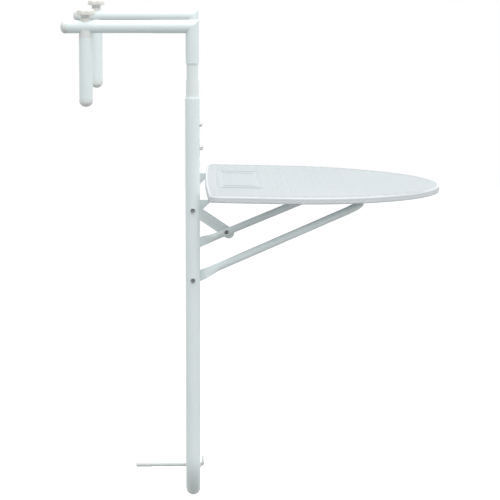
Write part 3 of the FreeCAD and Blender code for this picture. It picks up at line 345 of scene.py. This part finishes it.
def bolt_mesh(name, length):
    """A bolt along Z, its shank below 0, with the number 1 on the plated faces and 0 in the recess, which
    takes the painted shade.
    """
    head, shank, top, chamfer = (bolt[size] for size in ("head", "shank", "height", "chamfer"))
    mouth, floor_level = top - bolt_socket["mouth"], top - bolt_socket["floor"]
    rings = [(0, -length), (shank - chamfer, -length), (shank, -length + 2 * chamfer), (shank, -0.0002)]
    rings += [(head - bolt["round"], 0), (head, bolt["round"])]
    rings += [(head * wide, top * high) for wide, high in bolt_dome]
    rings += [(lambda turn: hexagon(turn) + 0.0001, mouth), (hexagon, mouth - 0.0002)]
    rings += [(hexagon, floor_level + 0.0004), (0, floor_level)]
    mesh = smooth(turned_mesh(name, rings, bolt["sides"], zinc), 30)
    mesh.materials.append(socket_shade)
    plated = mesh.attributes.new("plated", "FLOAT", "FACE").data
    for face in mesh.polygons:
        middle = face.center
        sunk = floor_level - 0.0001 < middle.z < top - 0.0001
        inside = sunk and middle.xy.length < head * bolt_dome[-1][0]
        face.material_index = int(inside)
        plated[face.index].value = int(not inside)
    mesh.transform(Matrix.Rotation(bolt_socket["turn"], 4, "Z"))
    return mesh


bolting = Growth("bolts_in_place", {"Bolt": "Object"})
whole = {"Object": bolting.given["Bolt"]}
master = bolting.node("GeometryNodeObjectInfo", {"transform_space": "ORIGINAL"}, whole, "Geometry")
facing = bolting.node("ShaderNodeCombineXYZ", None, {"Y": bolting.number("outward") * (math.pi / 2)})
set_in = {"Points": bolting.given["Seed"], "Instance": master, "Rotation": facing}
bolts = bolting.node("GeometryNodeInstanceOnPoints", None, set_in)
bolting.close(bolts, zinc, bolting.number("plated"))

# The node that each bolt or pair stands for, its body, its length under the head and the ways it faces.
for node, body, length, ways in (
    ("table_hinge_bolts", "frame", 0.0337, (-1, 1)),
    ("brace_hinge_bolts", "frame", 0.0357, (-1, 1)),
    ("stay_bolt", "brace", 0.0237, (-1,)),
):
    low, middle, high = box_of(node)
    under_head = {-1: low[0] + bolt["height"], 1: high[0] - bolt["height"]}
    ends = [(under_head[way], middle[1], middle[2]) for way in ways]
    one = placed(node + "_master", bolt_mesh(node + "_master", length))
    piece = bolting.grow(node + "_socketed", seed_of(node + "_ends", ends, outward=ways), {"Bolt": one})
    bpy.data.objects.remove(one)
    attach(piece, body)
    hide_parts(node)

# Snap buttons: zinc-plated nubs with a domed tip, turned with the flange that keeps them in the tube. A
# leaf spring presses each one out through a hole of its pole.

Y_FORWARD, Y_BACK, Z_DOWN = (Matrix.Rotation(math.radians(turn), 4, "X") for turn in (90, -90, 180))


def domed(radius, start, end, count):
    """Rings of a round dome, without its pole."""
    turns = [math.pi / 2 * k / count for k in range(count)]
    return [(radius * math.cos(turn), start + (end - start) * math.sin(turn)) for turn in turns]


def turned_piece(name, rings, count, material, facing, place):
    """A turned shell made along Z, then faced and moved to its place."""
    mesh = smooth(turned_mesh(name, rings, count, material))
    mesh.transform(Matrix.Translation(place) @ facing)
    return placed(name, mesh)


# Metres: two radii, and four distances from the middle of the tube outward.
button = {"radius": 0.004, "flange": 0.0048, "sides": 40}
button_at = {"back": 0.005, "face": 0.0065, "dome": 0.0146, "tip": 0.0173}
nub = [(0, button_at["back"]), (button["flange"], button_at["back"]), (button["flange"], button_at["face"])]
nub.append((button["radius"], button_at["face"] + 0.0001))
nub += [*domed(button["radius"], button_at["dome"], button_at["tip"], 8), (0, button_at["tip"])]
for side in SIDES:
    node = f"snap_button_{side}"
    _, middle, _ = box_of(node)
    place = (middle[0], 0, middle[2])
    piece = turned_piece(f"snap_nub_{side}", nub, button["sides"], zinc, Y_FORWARD, place)
    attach(piece, f"snap_{side}")
    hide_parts(node)

# End caps of the arms and drop tubes: plugs of the same plastic as the saddles, pushed in, with a short
# rim and a smooth dome.

# Metres. Deep is the length of the plug in the tube, and the lengths are what stands out of it.
cap = {"radius": 0.011, "plug": 0.0095, "deep": 0.012, "rim": 0.003, "sides": 64}
cap_length = {"arm": 0.0103, "drop": 0.0125}


def cap_rings(length):
    """Plug, rim with a broken edge, dome."""
    radius, plug, deep = cap["radius"], cap["plug"], cap["deep"]
    rings = [(0, -deep), (plug - 0.0008, -deep), (plug, 0.0008 - deep), (plug, 0.0001)]
    rings += [(radius - 0.0003, 0.0001), (radius, 0.0004)]
    return [*rings, *domed(radius, cap["rim"], length, 12), (0, length)]


for side in SIDES:
    low, middle, high = box_of(f"arm_cap_{side}")
    arm_end = (middle[0], high[1] - cap_length["arm"], middle[2])
    low, middle, high = box_of(f"drop_cap_{side}")
    drop_end = (middle[0], middle[1], low[2] + cap_length["drop"])
    for kind, body, facing, place in (("arm", "arm", Y_BACK, arm_end), ("drop", "clamp", Z_DOWN, drop_end)):
        node, rings = f"{kind}_cap_{side}", cap_rings(cap_length[kind])
        piece = turned_piece(f"domed_{node}", rings, cap["sides"], cap_plastic, facing, place)
        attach(piece, f"{body}_{side}")
        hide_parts(node)

# Spacer rod: 6 mm steel rod through the crossbar, coated grey. In front it is bent up and its end pressed
# flat for the thumb.

rod_coat = powder_coat("rod_coat", (0.74, 0.79, 0.79), (0.69, 0.74, 0.74))
# Metres. The rod runs from back to front and turns up there; half its width and thickness at the tab.
rod = {"radius": 0.003, "back": 0.094, "front": 0.0166, "bend": 0.0036, "tab": (0.0044, 0.0014)}
rod_count = {"sides": 28, "bend_stops": 8}
# Height of each station of the tab, how far it is pressed flat and the share of its width that it has.
rod_tab = [(0.0048, 0.7, 1), (0.0062, 1, 1), (0.0128, 1, 1), (0.0143, 0.99, 1), (0.0151, 0.9, 0.85)]
rod_tab.append((0.0155, 0.6, 0.55))


def swept(name, stations, count, material):
    """A closed skin through oval sections, each with its middle, its two half widths as vectors."""
    points, faces = [], []
    for middle, across, up in stations:
        for k in range(count):
            turn = math.tau * k / count
            points.append(middle + across * math.cos(turn) + up * math.sin(turn))
    last = len(points) - count
    for low in range(0, last, count):
        high = low + count
        faces += [(low + k, high + k, high + (k + 1) % count, low + (k + 1) % count) for k in range(count)]
    faces.append(tuple(range(count)))
    faces.append(tuple(reversed(range(last, len(points)))))
    mesh = bpy.data.meshes.new(name)
    mesh.from_pydata(points, [], faces)
    mesh.materials.append(material)
    return mesh


def rod_stations():
    """Straight through the crossbar, round the bend, then up into a tab pressed flat for the thumb."""
    radius, bend, upright = rod["radius"], rod["bend"], math.pi / 2
    start, stops, flat_after_bend = bend - rod["front"], rod_count["bend_stops"], 0.25
    # Place in Y and Z, turn, how far it is pressed flat and its share of the width.
    line = [(rod["back"], 0, 0, 0, 1), (start, 0, 0, 0, 1)]
    for k in range(1, stops + 1):
        turn, flat = upright * k / stops, flat_after_bend * k / stops
        line.append((start - bend * math.sin(turn), bend - bend * math.cos(turn), turn, flat, 1))
    line += [(-rod["front"], height, upright, flat, share) for height, flat, share in rod_tab]
    stations = []
    for y, z, turn, flat, share in line:
        wide, thin = (radius + (half - radius) * flat for half in rod["tab"])
        normal = Vector((0, math.sin(turn), math.cos(turn)))
        stations.append((Vector((0, y, z)), Vector((1, 0, 0)) * wide * share, normal * thin * share))
    return stations


low, _, _ = box_of("spacer_rod")
rod_mesh = smooth(swept("bent_rod", rod_stations(), rod_count["sides"], rod_coat))
rod_mesh.transform(Matrix.Translation((0, 0, low[2] + rod["radius"])))
piece = placed("bent_rod", rod_mesh)
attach(piece, "rod")
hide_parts("spacer_rod")

# Knobs: six-lobed heads moulded in warm white plastic on a ribbed hub of the caps' plastic. The hub bears
# on a pressure pad, which lies on the arm, and the clamp screw is moulded in.

knob_plastic = moulded("knob_plastic", (0.80, 0.79, 0.745), (0.76, 0.75, 0.71), 1000, 0.36)
dress(knob_plastic, *both("pressure_pad"))
# Metres. Base is where the head meets its hub, above the object's origin.
knob = {"radius": 0.015, "bite": 0.0028, "fade": 0.009, "base": 0.0294, "lobes": 6, "sides": 96}
knob_hub = {"radius": 0.008, "low": 0.0247, "ribs": 24, "rib": 0.00025}
# The head's outline: how far in from the radius, how far up from the base.
crown = [(0.0012, 0), (0.0003, 0.0005), (0, 0.0014), (0, 0.006), (0.0003, 0.0076), (0.0011, 0.0089)]
crown += [(0.0024, 0.0099), (0.0044, 0.0106), (0.0072, 0.0109), (0.0112, 0.0109)]


def lobed(inset):
    """Lobes that fade to a round towards the middle of the crown."""
    radius = knob["radius"] - knob["bite"] / 2 - inset
    wave = knob["bite"] / 2 * max(0, 1 - inset / knob["fade"])
    return lambda turn: radius - wave * math.cos(knob["lobes"] * turn)


def hub_rib(turn):
    """The ribbed radius of the hub in a direction."""
    return knob_hub["radius"] - knob_hub["rib"] * (1 + math.cos(knob_hub["ribs"] * turn))


for side in SIDES:
    node, base, foot = f"knob_{side}", knob["base"], knob_hub["low"]
    low, middle, high = box_of(node)
    rings = [(0, base)] + [(lobed(inset), base + height) for inset, height in crown] + [(0, high[2])]
    head = turned_mesh(f"knob_head_{side}", rings, knob["sides"], knob_plastic)
    rings = [(0, foot), (knob_hub["radius"] - 0.001, foot), (hub_rib, foot + 0.0006)]
    rings += [(hub_rib, base + 0.0004), (0, base + 0.0006)]
    hub = turned_mesh(f"knob_hub_{side}", rings, knob["sides"], cap_plastic)
    joined = bmesh.new()
    joined.from_mesh(head)
    head_faces = len(joined.faces)
    joined.from_mesh(hub)
    joined.faces.ensure_lookup_table()
    for face in joined.faces[head_faces:]:
        face.material_index = 1
    joined.to_mesh(head)
    joined.free()
    head.materials.append(cap_plastic)
    head.transform(Matrix.Translation((middle[0], middle[1], 0)))
    piece = placed(f"star_knob_{side}", smooth(head, 50))
    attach(piece, node)
    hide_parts(node)

# Tabletop: a D-shaped board moulded in pale plastic to look like woven rattan. The weave is flat strands
# that pass over and under each other, framed by four border strands, with a braid low on the rim.


def rattan(name):
    """Matt moulded plastic with a fine grain, still without its colour."""
    finish = Finish(name, IOR=1.46)
    finish.drive("Roughness", 0.62 + 0.1 * finish.noise(80, 3))
    finish.bump(finish.noise(1500, 2), 0.00004)
    return finish


# Strands: each a little lighter or darker than its neighbour, and all painted darker than the board's side,
# as shade on the top.
cane = rattan("rattan_plastic")
own_tone = cane.node("ShaderNodeAttribute", {"attribute_name": "tone"}, out="Fac")
shade = cane.ramp(0.55 * own_tone + 0.45 * cane.noise(9, 3), 0.2, 0.8)
cane.drive("Base Color", cane.between(shade, (0.495, 0.532, 0.547), (0.52, 0.562, 0.577)))

# Metres. Top is above the hinge's axis, round which the board leans a little down to the user.
board = {"width": 0.6, "depth": 0.4, "setback": 0.026, "corner": 0.016, "bow": 0.0044, "top": 0.0278}
flank_share, shoulder_share = 0.325, 0.7667
board_flank = board["depth"] * flank_share
board_shoulder = board["width"] / 2 * shoulder_share
board_axis, board_lean = (0, 0, -0.2898), math.radians(1.12)
board_tilt = Matrix.Translation(board_axis) @ Matrix.Rotation(board_lean, 4, "X")

# Board: a painted highlight makes it palest on its round edge, and painted shade darkens the flat of the
# top, which shows between the strands.
ground = rattan("rattan_ground")
rise = ground.along(board_axis, (0, -math.sin(board_lean), math.cos(board_lean)))
# Painted highlight on the round edge, painted shade on the flat of the top.
edge_highlight = ground.ramp(rise, board["top"] - 0.004, board["top"] - 0.002)
top_shade = ground.ramp(rise, board["top"] - 0.0006, board["top"] - 0.00005)
shade = 0.9 * edge_highlight + 0.1 * ground.noise(9, 3)
side_and_edge_highlight = ground.between(shade, (0.63, 0.675, 0.69), (0.75, 0.795, 0.81))
shade = 0.9 * top_shade + 0.1 * ground.noise(14, 3)
ground.drive("Base Color", ground.between(shade, side_and_edge_highlight, (0.49, 0.53, 0.545)))
dress(ground.material, "tabletop", "board_base")

# How finely lines are drawn: the step along an arc in metres, and the stops on a straight side.
LINE_STEP, STRAIGHT_STOPS = 0.004, 24


def arc(centre, radius, start, end):
    """Points along an arc, the last one left out."""
    count = max(2, round(abs(end - start) * radius / LINE_STEP))
    turns = [start + (end - start) * k / count for k in range(count)]
    return [(centre[0] + radius * math.cos(turn), centre[1] + radius * math.sin(turn)) for turn in turns]


def board_line(inset):
    """The outline of the top, drawn inside its edge by the inset, anticlockwise from the back left."""
    half, back = board["width"] / 2, -board["setback"]
    flank, quarter = back - board_flank, math.pi / 2
    corner_x, corner_y = half - board["corner"], back - board["corner"]
    # In front, two shoulders run into one wide nose without a kink.
    shoulder_x, reach = half - board_shoulder, board["depth"] - board_flank
    nose = (shoulder_x**2 + reach**2 - board_shoulder**2) / (2 * (reach - board_shoulder))
    nose_y = back - board["depth"] + nose
    meet = math.atan2(flank - nose_y, shoulder_x)
    # Behind, the edge bows out a little between the corners.
    bow = (corner_x**2 + board["bow"] ** 2) / (2 * board["bow"])
    bowed = math.asin(corner_x / bow)
    runs = [flank + (corner_y - flank) * k / STRAIGHT_STOPS for k in range(STRAIGHT_STOPS)]
    return [
        *arc((-corner_x, corner_y), board["corner"] - inset, quarter, math.pi),
        *((inset - half, flank + corner_y - y) for y in runs),
        *arc((-shoulder_x, flank), board_shoulder - inset, math.pi, math.pi - meet),
        *arc((0, nose_y), nose - inset, math.pi - meet, math.tau + meet),
        *arc((shoulder_x, flank), board_shoulder - inset, meet, 0),
        *((half - inset, y) for y in runs),
        *arc((corner_x, corner_y), board["corner"] - inset, 0, quarter),
        *arc((0, back + board["bow"] - bow), bow - inset, quarter - bowed, quarter + bowed),
    ]


def crossings(line, axis, level):
    """Where a line at one level of an axis crosses the outline, from low to high."""
    found = []
    for start, end in zip(line, line[1:] + line[:1]):
        low, high = start[axis] - level, end[axis] - level
        if (low < 0) != (high < 0):
            share = low / (low - high)
            found.append(start[1 - axis] + share * (end[1 - axis] - start[1 - axis]))
    return min(found), max(found)


# One tree makes every kind of strand: it lifts the line by a wave and gives it a flat, bevelled section.
kinds = {"Width": "Float", "Thickness": "Float", "Lift": "Float", "Level": "Float", "Material": "Material"}
strands = Growth("rattan_strands", kinds)
given = strands.given
wave = strands.node("ShaderNodeMath", {"operation": "COSINE"}, {0: strands.number("run") * math.pi})
rise = strands.node("ShaderNodeCombineXYZ", None, {"Z": wave * given["Lift"] + given["Level"]})
line = strands.node("GeometryNodeMeshToCurve", None, {"Mesh": given["Seed"]})
line = strands.node("GeometryNodeSetCurveNormal", {"mode": "Z_UP"}, {"Curve": line})
line = strands.node("GeometryNodeSetPosition", None, {"Geometry": line, "Offset": rise})
bevel = 0.75
bevelled = {"Bottom Width": given["Width"], "Top Width": given["Width"] * bevel}
bevelled |= {"Height": given["Thickness"], "Offset": 0}
section = strands.node("GeometryNodeCurvePrimitiveQuadrilateral", {"mode": "TRAPEZOID"}, bevelled)
followed = {"Curve": line, "Profile Curve": section, "Fill Caps": True}
ribbon = strands.node("GeometryNodeCurveToMesh", None, followed)
ribbon = strands.node("GeometryNodeSetShadeSmooth", None, {"Geometry": ribbon, "Shade Smooth": False})
strands.close(ribbon, given["Material"])


def strand_seed(name, lines, closed):
    """Lines of (x, y, run) as loose edges, each line with a tone of its own."""
    points, edges, runs, tones = [], [], [], []
    golden_share = 0.618034
    for index, stops in enumerate(lines):
        first = len(points)
        points += [(x, y, 0) for x, y, _ in stops]
        runs += [run for _, _, run in stops]
        tones += [(index * golden_share) % 1] * len(stops)
        edges += [(k, k + 1) for k in range(first, len(points) - 1)]
        if closed:
            edges.append((len(points) - 1, first))
    return seed_of(name, points, edges, run=runs, tone=tones)


def lay(tree, name, lines, closed, sizes):
    """Grows lines drawn flat, tilts the piece with the board and hangs it on the table."""
    piece = tree.grow(name, strand_seed(name, lines, closed), sizes)
    piece.data.transform(board_tilt)
    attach(piece, "table")


def strand_sizes(strand, material, drop=0):
    """What the tree of strands is given, for a strand on the top or lower by the drop."""
    sizes = {"Width": strand["width"], "Thickness": strand["thick"], "Lift": strand["lift"]}
    return {**sizes, "Level": board["top"] - drop - strand["sunk"], "Material": material}


# Metres. Reach is how many strands are tried each way from the middle.
weave = {"width": 0.0038, "thick": 0.0007, "lift": 0.00012, "sunk": 0.0003}
weave_field = {"pitch": 0.0042, "inset": 0.0185, "reach": 75}


def woven(axis):
    """Strands that lie along one axis, cut to the field inside the border."""
    field, pitch = board_line(weave_field["inset"]), weave_field["pitch"]
    centre = (0, -board["setback"] - board["depth"] / 2)
    along, across = centre[axis], centre[1 - axis]
    levels = [point[1 - axis] for point in field]
    first, last = min(levels) + pitch / 2, max(levels) - pitch / 2
    lines = []
    for number in range(-weave_field["reach"], weave_field["reach"] + 1):
        level = across + number * pitch
        if not first < level < last:
            continue
        start, end = crossings(field, 1 - axis, level)
        steps = range(math.ceil((start - along) / pitch * 2), math.floor((end - along) / pitch * 2) + 1)
        stops = [start, *(along + step * pitch / 2 for step in steps), end]
        runs = [(stop, (stop - along) / pitch + number + axis) for stop in stops]
        lines.append([(level, stop, run) if axis else (stop, level, run) for stop, run in runs])
    return lines


for axis, name in enumerate(("weave_strands_across", "weave_strands_forward")):
    lay(strands, name, woven(axis), False, strand_sizes(weave, cane.material))

# The outermost border strand lies lower, on the round edge, and takes the board's material, with its
# painted highlight on the edge and painted shade on the top.
border = {"width": 0.0036, "thick": 0.001, "lift": 0.0001, "sunk": 0.00025}
border_rows = {"count": 4, "first": 0.0032, "pitch": 0.0038, "edge_drop": 0.0007}
for row in range(border_rows["count"]):
    outline = board_line(border_rows["first"] + row * border_rows["pitch"])
    rim = [(x, y, 0.5 * k + row) for k, (x, y) in enumerate(outline)]
    drop, material = (0, cane.material) if row else (border_rows["edge_drop"], ground.material)
    lay(strands, f"border_strand_{row + 1}", [rim], True, strand_sizes(border, material, drop))

# Braid on the rim of the board: slanted beads round the lower half of the side, moulded in one with the
# board and in its own colour.

# Metres: distance of the beads, their length, height and thickness, and their level on the board.
beads = {"Pitch": 0.014, "Long": 0.014, "Tall": 0.0024, "Proud": 0.0014, "Level": 0.0187}
bead_slant = -0.3
braid = Growth("rim_braid", dict.fromkeys(beads, "Float"))
given = braid.given
rail = braid.node("GeometryNodeMeshToCurve", None, {"Mesh": given["Seed"]})
evenly = {"Curve": rail, "Length": given["Pitch"]}
rail = braid.node("GeometryNodeResampleCurve", {"mode": "LENGTH"}, evenly)
bead = braid.node("GeometryNodeMeshUVSphere", None, {"Segments": 8, "Rings": 5, "Radius": 0.5})
bead = braid.node("GeometryNodeSetShadeSmooth", None, {"Geometry": bead})
tangent = {"Vector": braid.node("GeometryNodeInputTangent")}
lie = braid.node("FunctionNodeAlignRotationToVector", {"axis": "X"}, tangent)
slanting = {"Rotation": lie, "Rotate By": (0, bead_slant, 0)}
lie = braid.node("FunctionNodeRotateRotation", {"rotation_space": "LOCAL"}, slanting)
lengths = {"X": given["Long"], "Y": given["Proud"], "Z": given["Tall"]}
scale = braid.node("ShaderNodeCombineXYZ", None, lengths)
beaded = {"Points": rail, "Instance": bead, "Rotation": lie, "Scale": scale}
strung = braid.node("GeometryNodeInstanceOnPoints", None, beaded)
rise = braid.node("ShaderNodeCombineXYZ", None, {"Z": given["Level"]})
strung = braid.node("GeometryNodeSetPosition", None, {"Geometry": strung, "Offset": rise})
braid.close(strung, ground.material)
bead_inset = 0.0002
lay(braid, "rim_braid", [[(x, y, 0) for x, y in board_line(bead_inset)]], True, beads)

# Two raised welts on the weave frame a field for a plate near the poles; they stand out on the
# two sides that run to the user and are low on the other two.

welt = {"width": 0.0024, "thick": 0.0014, "lift": 0.0003, "sunk": 0.0001}
# Metres: half the width along the railing, and the distance of both ends from the board's back edge.
welt_frames = [
    {"half": 0.156, "back": 0.0190, "front": 0.093},
    {"half": 0.122, "back": 0.0235, "front": 0.083},
]


def welt_line(rectangle):
    """The rectangle's points, with a run of 0 where the welt stands high and 1 where it is low."""
    back, front = (-board["setback"] - rectangle[end] for end in ("back", "front"))
    half = rectangle["half"]
    corners = [(-half, back), (-half, front), (half, front), (half, back)]
    points = []
    for side, (start, end) in enumerate(zip(corners, corners[1:] + corners[:1])):
        for k in range(STRAIGHT_STOPS):
            x, y = (a + (b - a) * k / STRAIGHT_STOPS for a, b in zip(start, end))
            high = side % 2 == 0 and 1 < k < STRAIGHT_STOPS - 1
            points.append((x, y, 0 if high else 1))
    return points


lines = [welt_line(rectangle) for rectangle in welt_frames]
lay(strands, "panel_welts", lines, True, strand_sizes(welt, cane.material))

# Studio: a pale floor one metre under the rail, a soft world that is a little brighter behind the camera
# and on the user's side, and one large soft lamp above.


def seen(net):
    """1 for the rays that only look, 0 for those that carry light."""
    kinds = ("Is Camera Ray", "Is Glossy Ray", "Is Transmission Ray")
    camera_ray, glossy_ray, passing_ray = (net.node("ShaderNodeLightPath", out=kind) for kind in kinds)
    return camera_ray + glossy_ray + passing_ray


world = bpy.data.worlds.new("studio")
world.use_nodes = True
bpy.context.scene.world = world
sky = Net(world.node_tree)
sky.tree.nodes.clear()
lit = {"level": 0.95, "camera_side": 0.22, "user_side": 0.15}
way = sky.node("ShaderNodeTexCoord", out="Generated")
toward = {0: way, 1: (-lit["camera_side"], -lit["user_side"], 0)}
lean = sky.node("ShaderNodeVectorMath", {"operation": "DOT_PRODUCT"}, toward, "Value")
dome = sky.node("ShaderNodeBackground", None, {"Color": (1, 1, 1, 1), "Strength": lit["level"] + lean})
white = sky.node("ShaderNodeBackground", None, {"Color": (1, 1, 1, 1), "Strength": 1})
shown = sky.node("ShaderNodeMixShader", None, {0: seen(sky), 1: dome, 2: white})
sky.node("ShaderNodeOutputWorld", None, {"Surface": shown})

# The floor: pale to the eye, lifted to white away from the object, so its shadow stays; it passes on less
# light than it shows.
floor = {"pale": 0.72, "dull": 0.70, "passed_on": 0.21, "level": -1.05, "half": 8}
# Metres from the object where the lift starts and ends, and the lift at both.
lift_from, lift_to = {"away": 0.55, "lift": 0.12}, {"away": 1.1, "lift": 0.40}
paint = Finish("floor_paint", Roughness=0.9)
looked_at = seen(paint)
pale, dull, passed_on = ((floor[tone],) * 3 for tone in ("pale", "dull", "passed_on"))
shown = paint.between(paint.noise(3, 3), pale, dull)
paint.drive("Base Color", paint.between(looked_at, passed_on, shown))
away = paint.node("ShaderNodeVectorMath", {"operation": "MULTIPLY"}, {0: paint.place, 1: (1, 1, 0)})
away = paint.node("ShaderNodeVectorMath", {"operation": "LENGTH"}, {0: away}, "Value")
lifting = paint.ramp(away, lift_from["away"], lift_to["away"])
lift = lift_from["lift"] + (lift_to["lift"] - lift_from["lift"]) * lifting
lift = paint.node("ShaderNodeCombineXYZ", None, {"X": lift, "Y": lift, "Z": lift})
glow = paint.node("ShaderNodeEmission", None, {"Color": lift, "Strength": looked_at})
shown = paint.node("ShaderNodeAddShader", None, {0: Wire(paint, paint.shader.outputs[0]), 1: glow})
paint.tree.links.new(shown.socket, paint.tree.nodes["Material Output"].inputs["Surface"])
half = floor["half"]
corners = [(x, y, floor["level"]) for x, y in ((-half, -half), (half, -half), (half, half), (-half, half))]
floor_mesh = bpy.data.meshes.new("floor")
floor_mesh.from_pydata(corners, [], [(0, 1, 2, 3)])
floor_mesh.materials.append(paint.material)
placed("floor", floor_mesh)

lamp = bpy.data.lights.new("soft_box", "AREA")
lamp.shape = "SQUARE"
lamp.size = 4
lamp.energy = 100
soft_box = bpy.data.objects.new("soft_box", lamp)
soft_box.matrix_world = Matrix.Translation((-0.6, -0.4, 3.2))
bpy.context.scene.collection.objects.link(soft_box)

# Camera: a long lens five metres to the left of the table, a little above the rail, turned a little down
# and to the user's side.

camera = bpy.data.objects.new("camera", bpy.data.cameras.new("camera"))
camera.data.lens = 210.06
camera.data.sensor_width = 36
camera.data.clip_end = 50
dip, swing = 0.1158, -0.0190
ahead = Vector((math.cos(dip) * math.cos(swing), math.cos(dip) * math.sin(swing), -math.sin(dip)))
right = Vector((math.sin(swing), -math.cos(swing), 0))
camera.matrix_world = Matrix((right, right.cross(ahead), -ahead)).transposed().to_4x4()
camera.location = (-5.03359, -0.00353, 0.19897)
bpy.context.scene.collection.objects.link(camera)
bpy.context.scene.camera = camera
bpy.context.scene.view_settings.view_transform = "Standard"
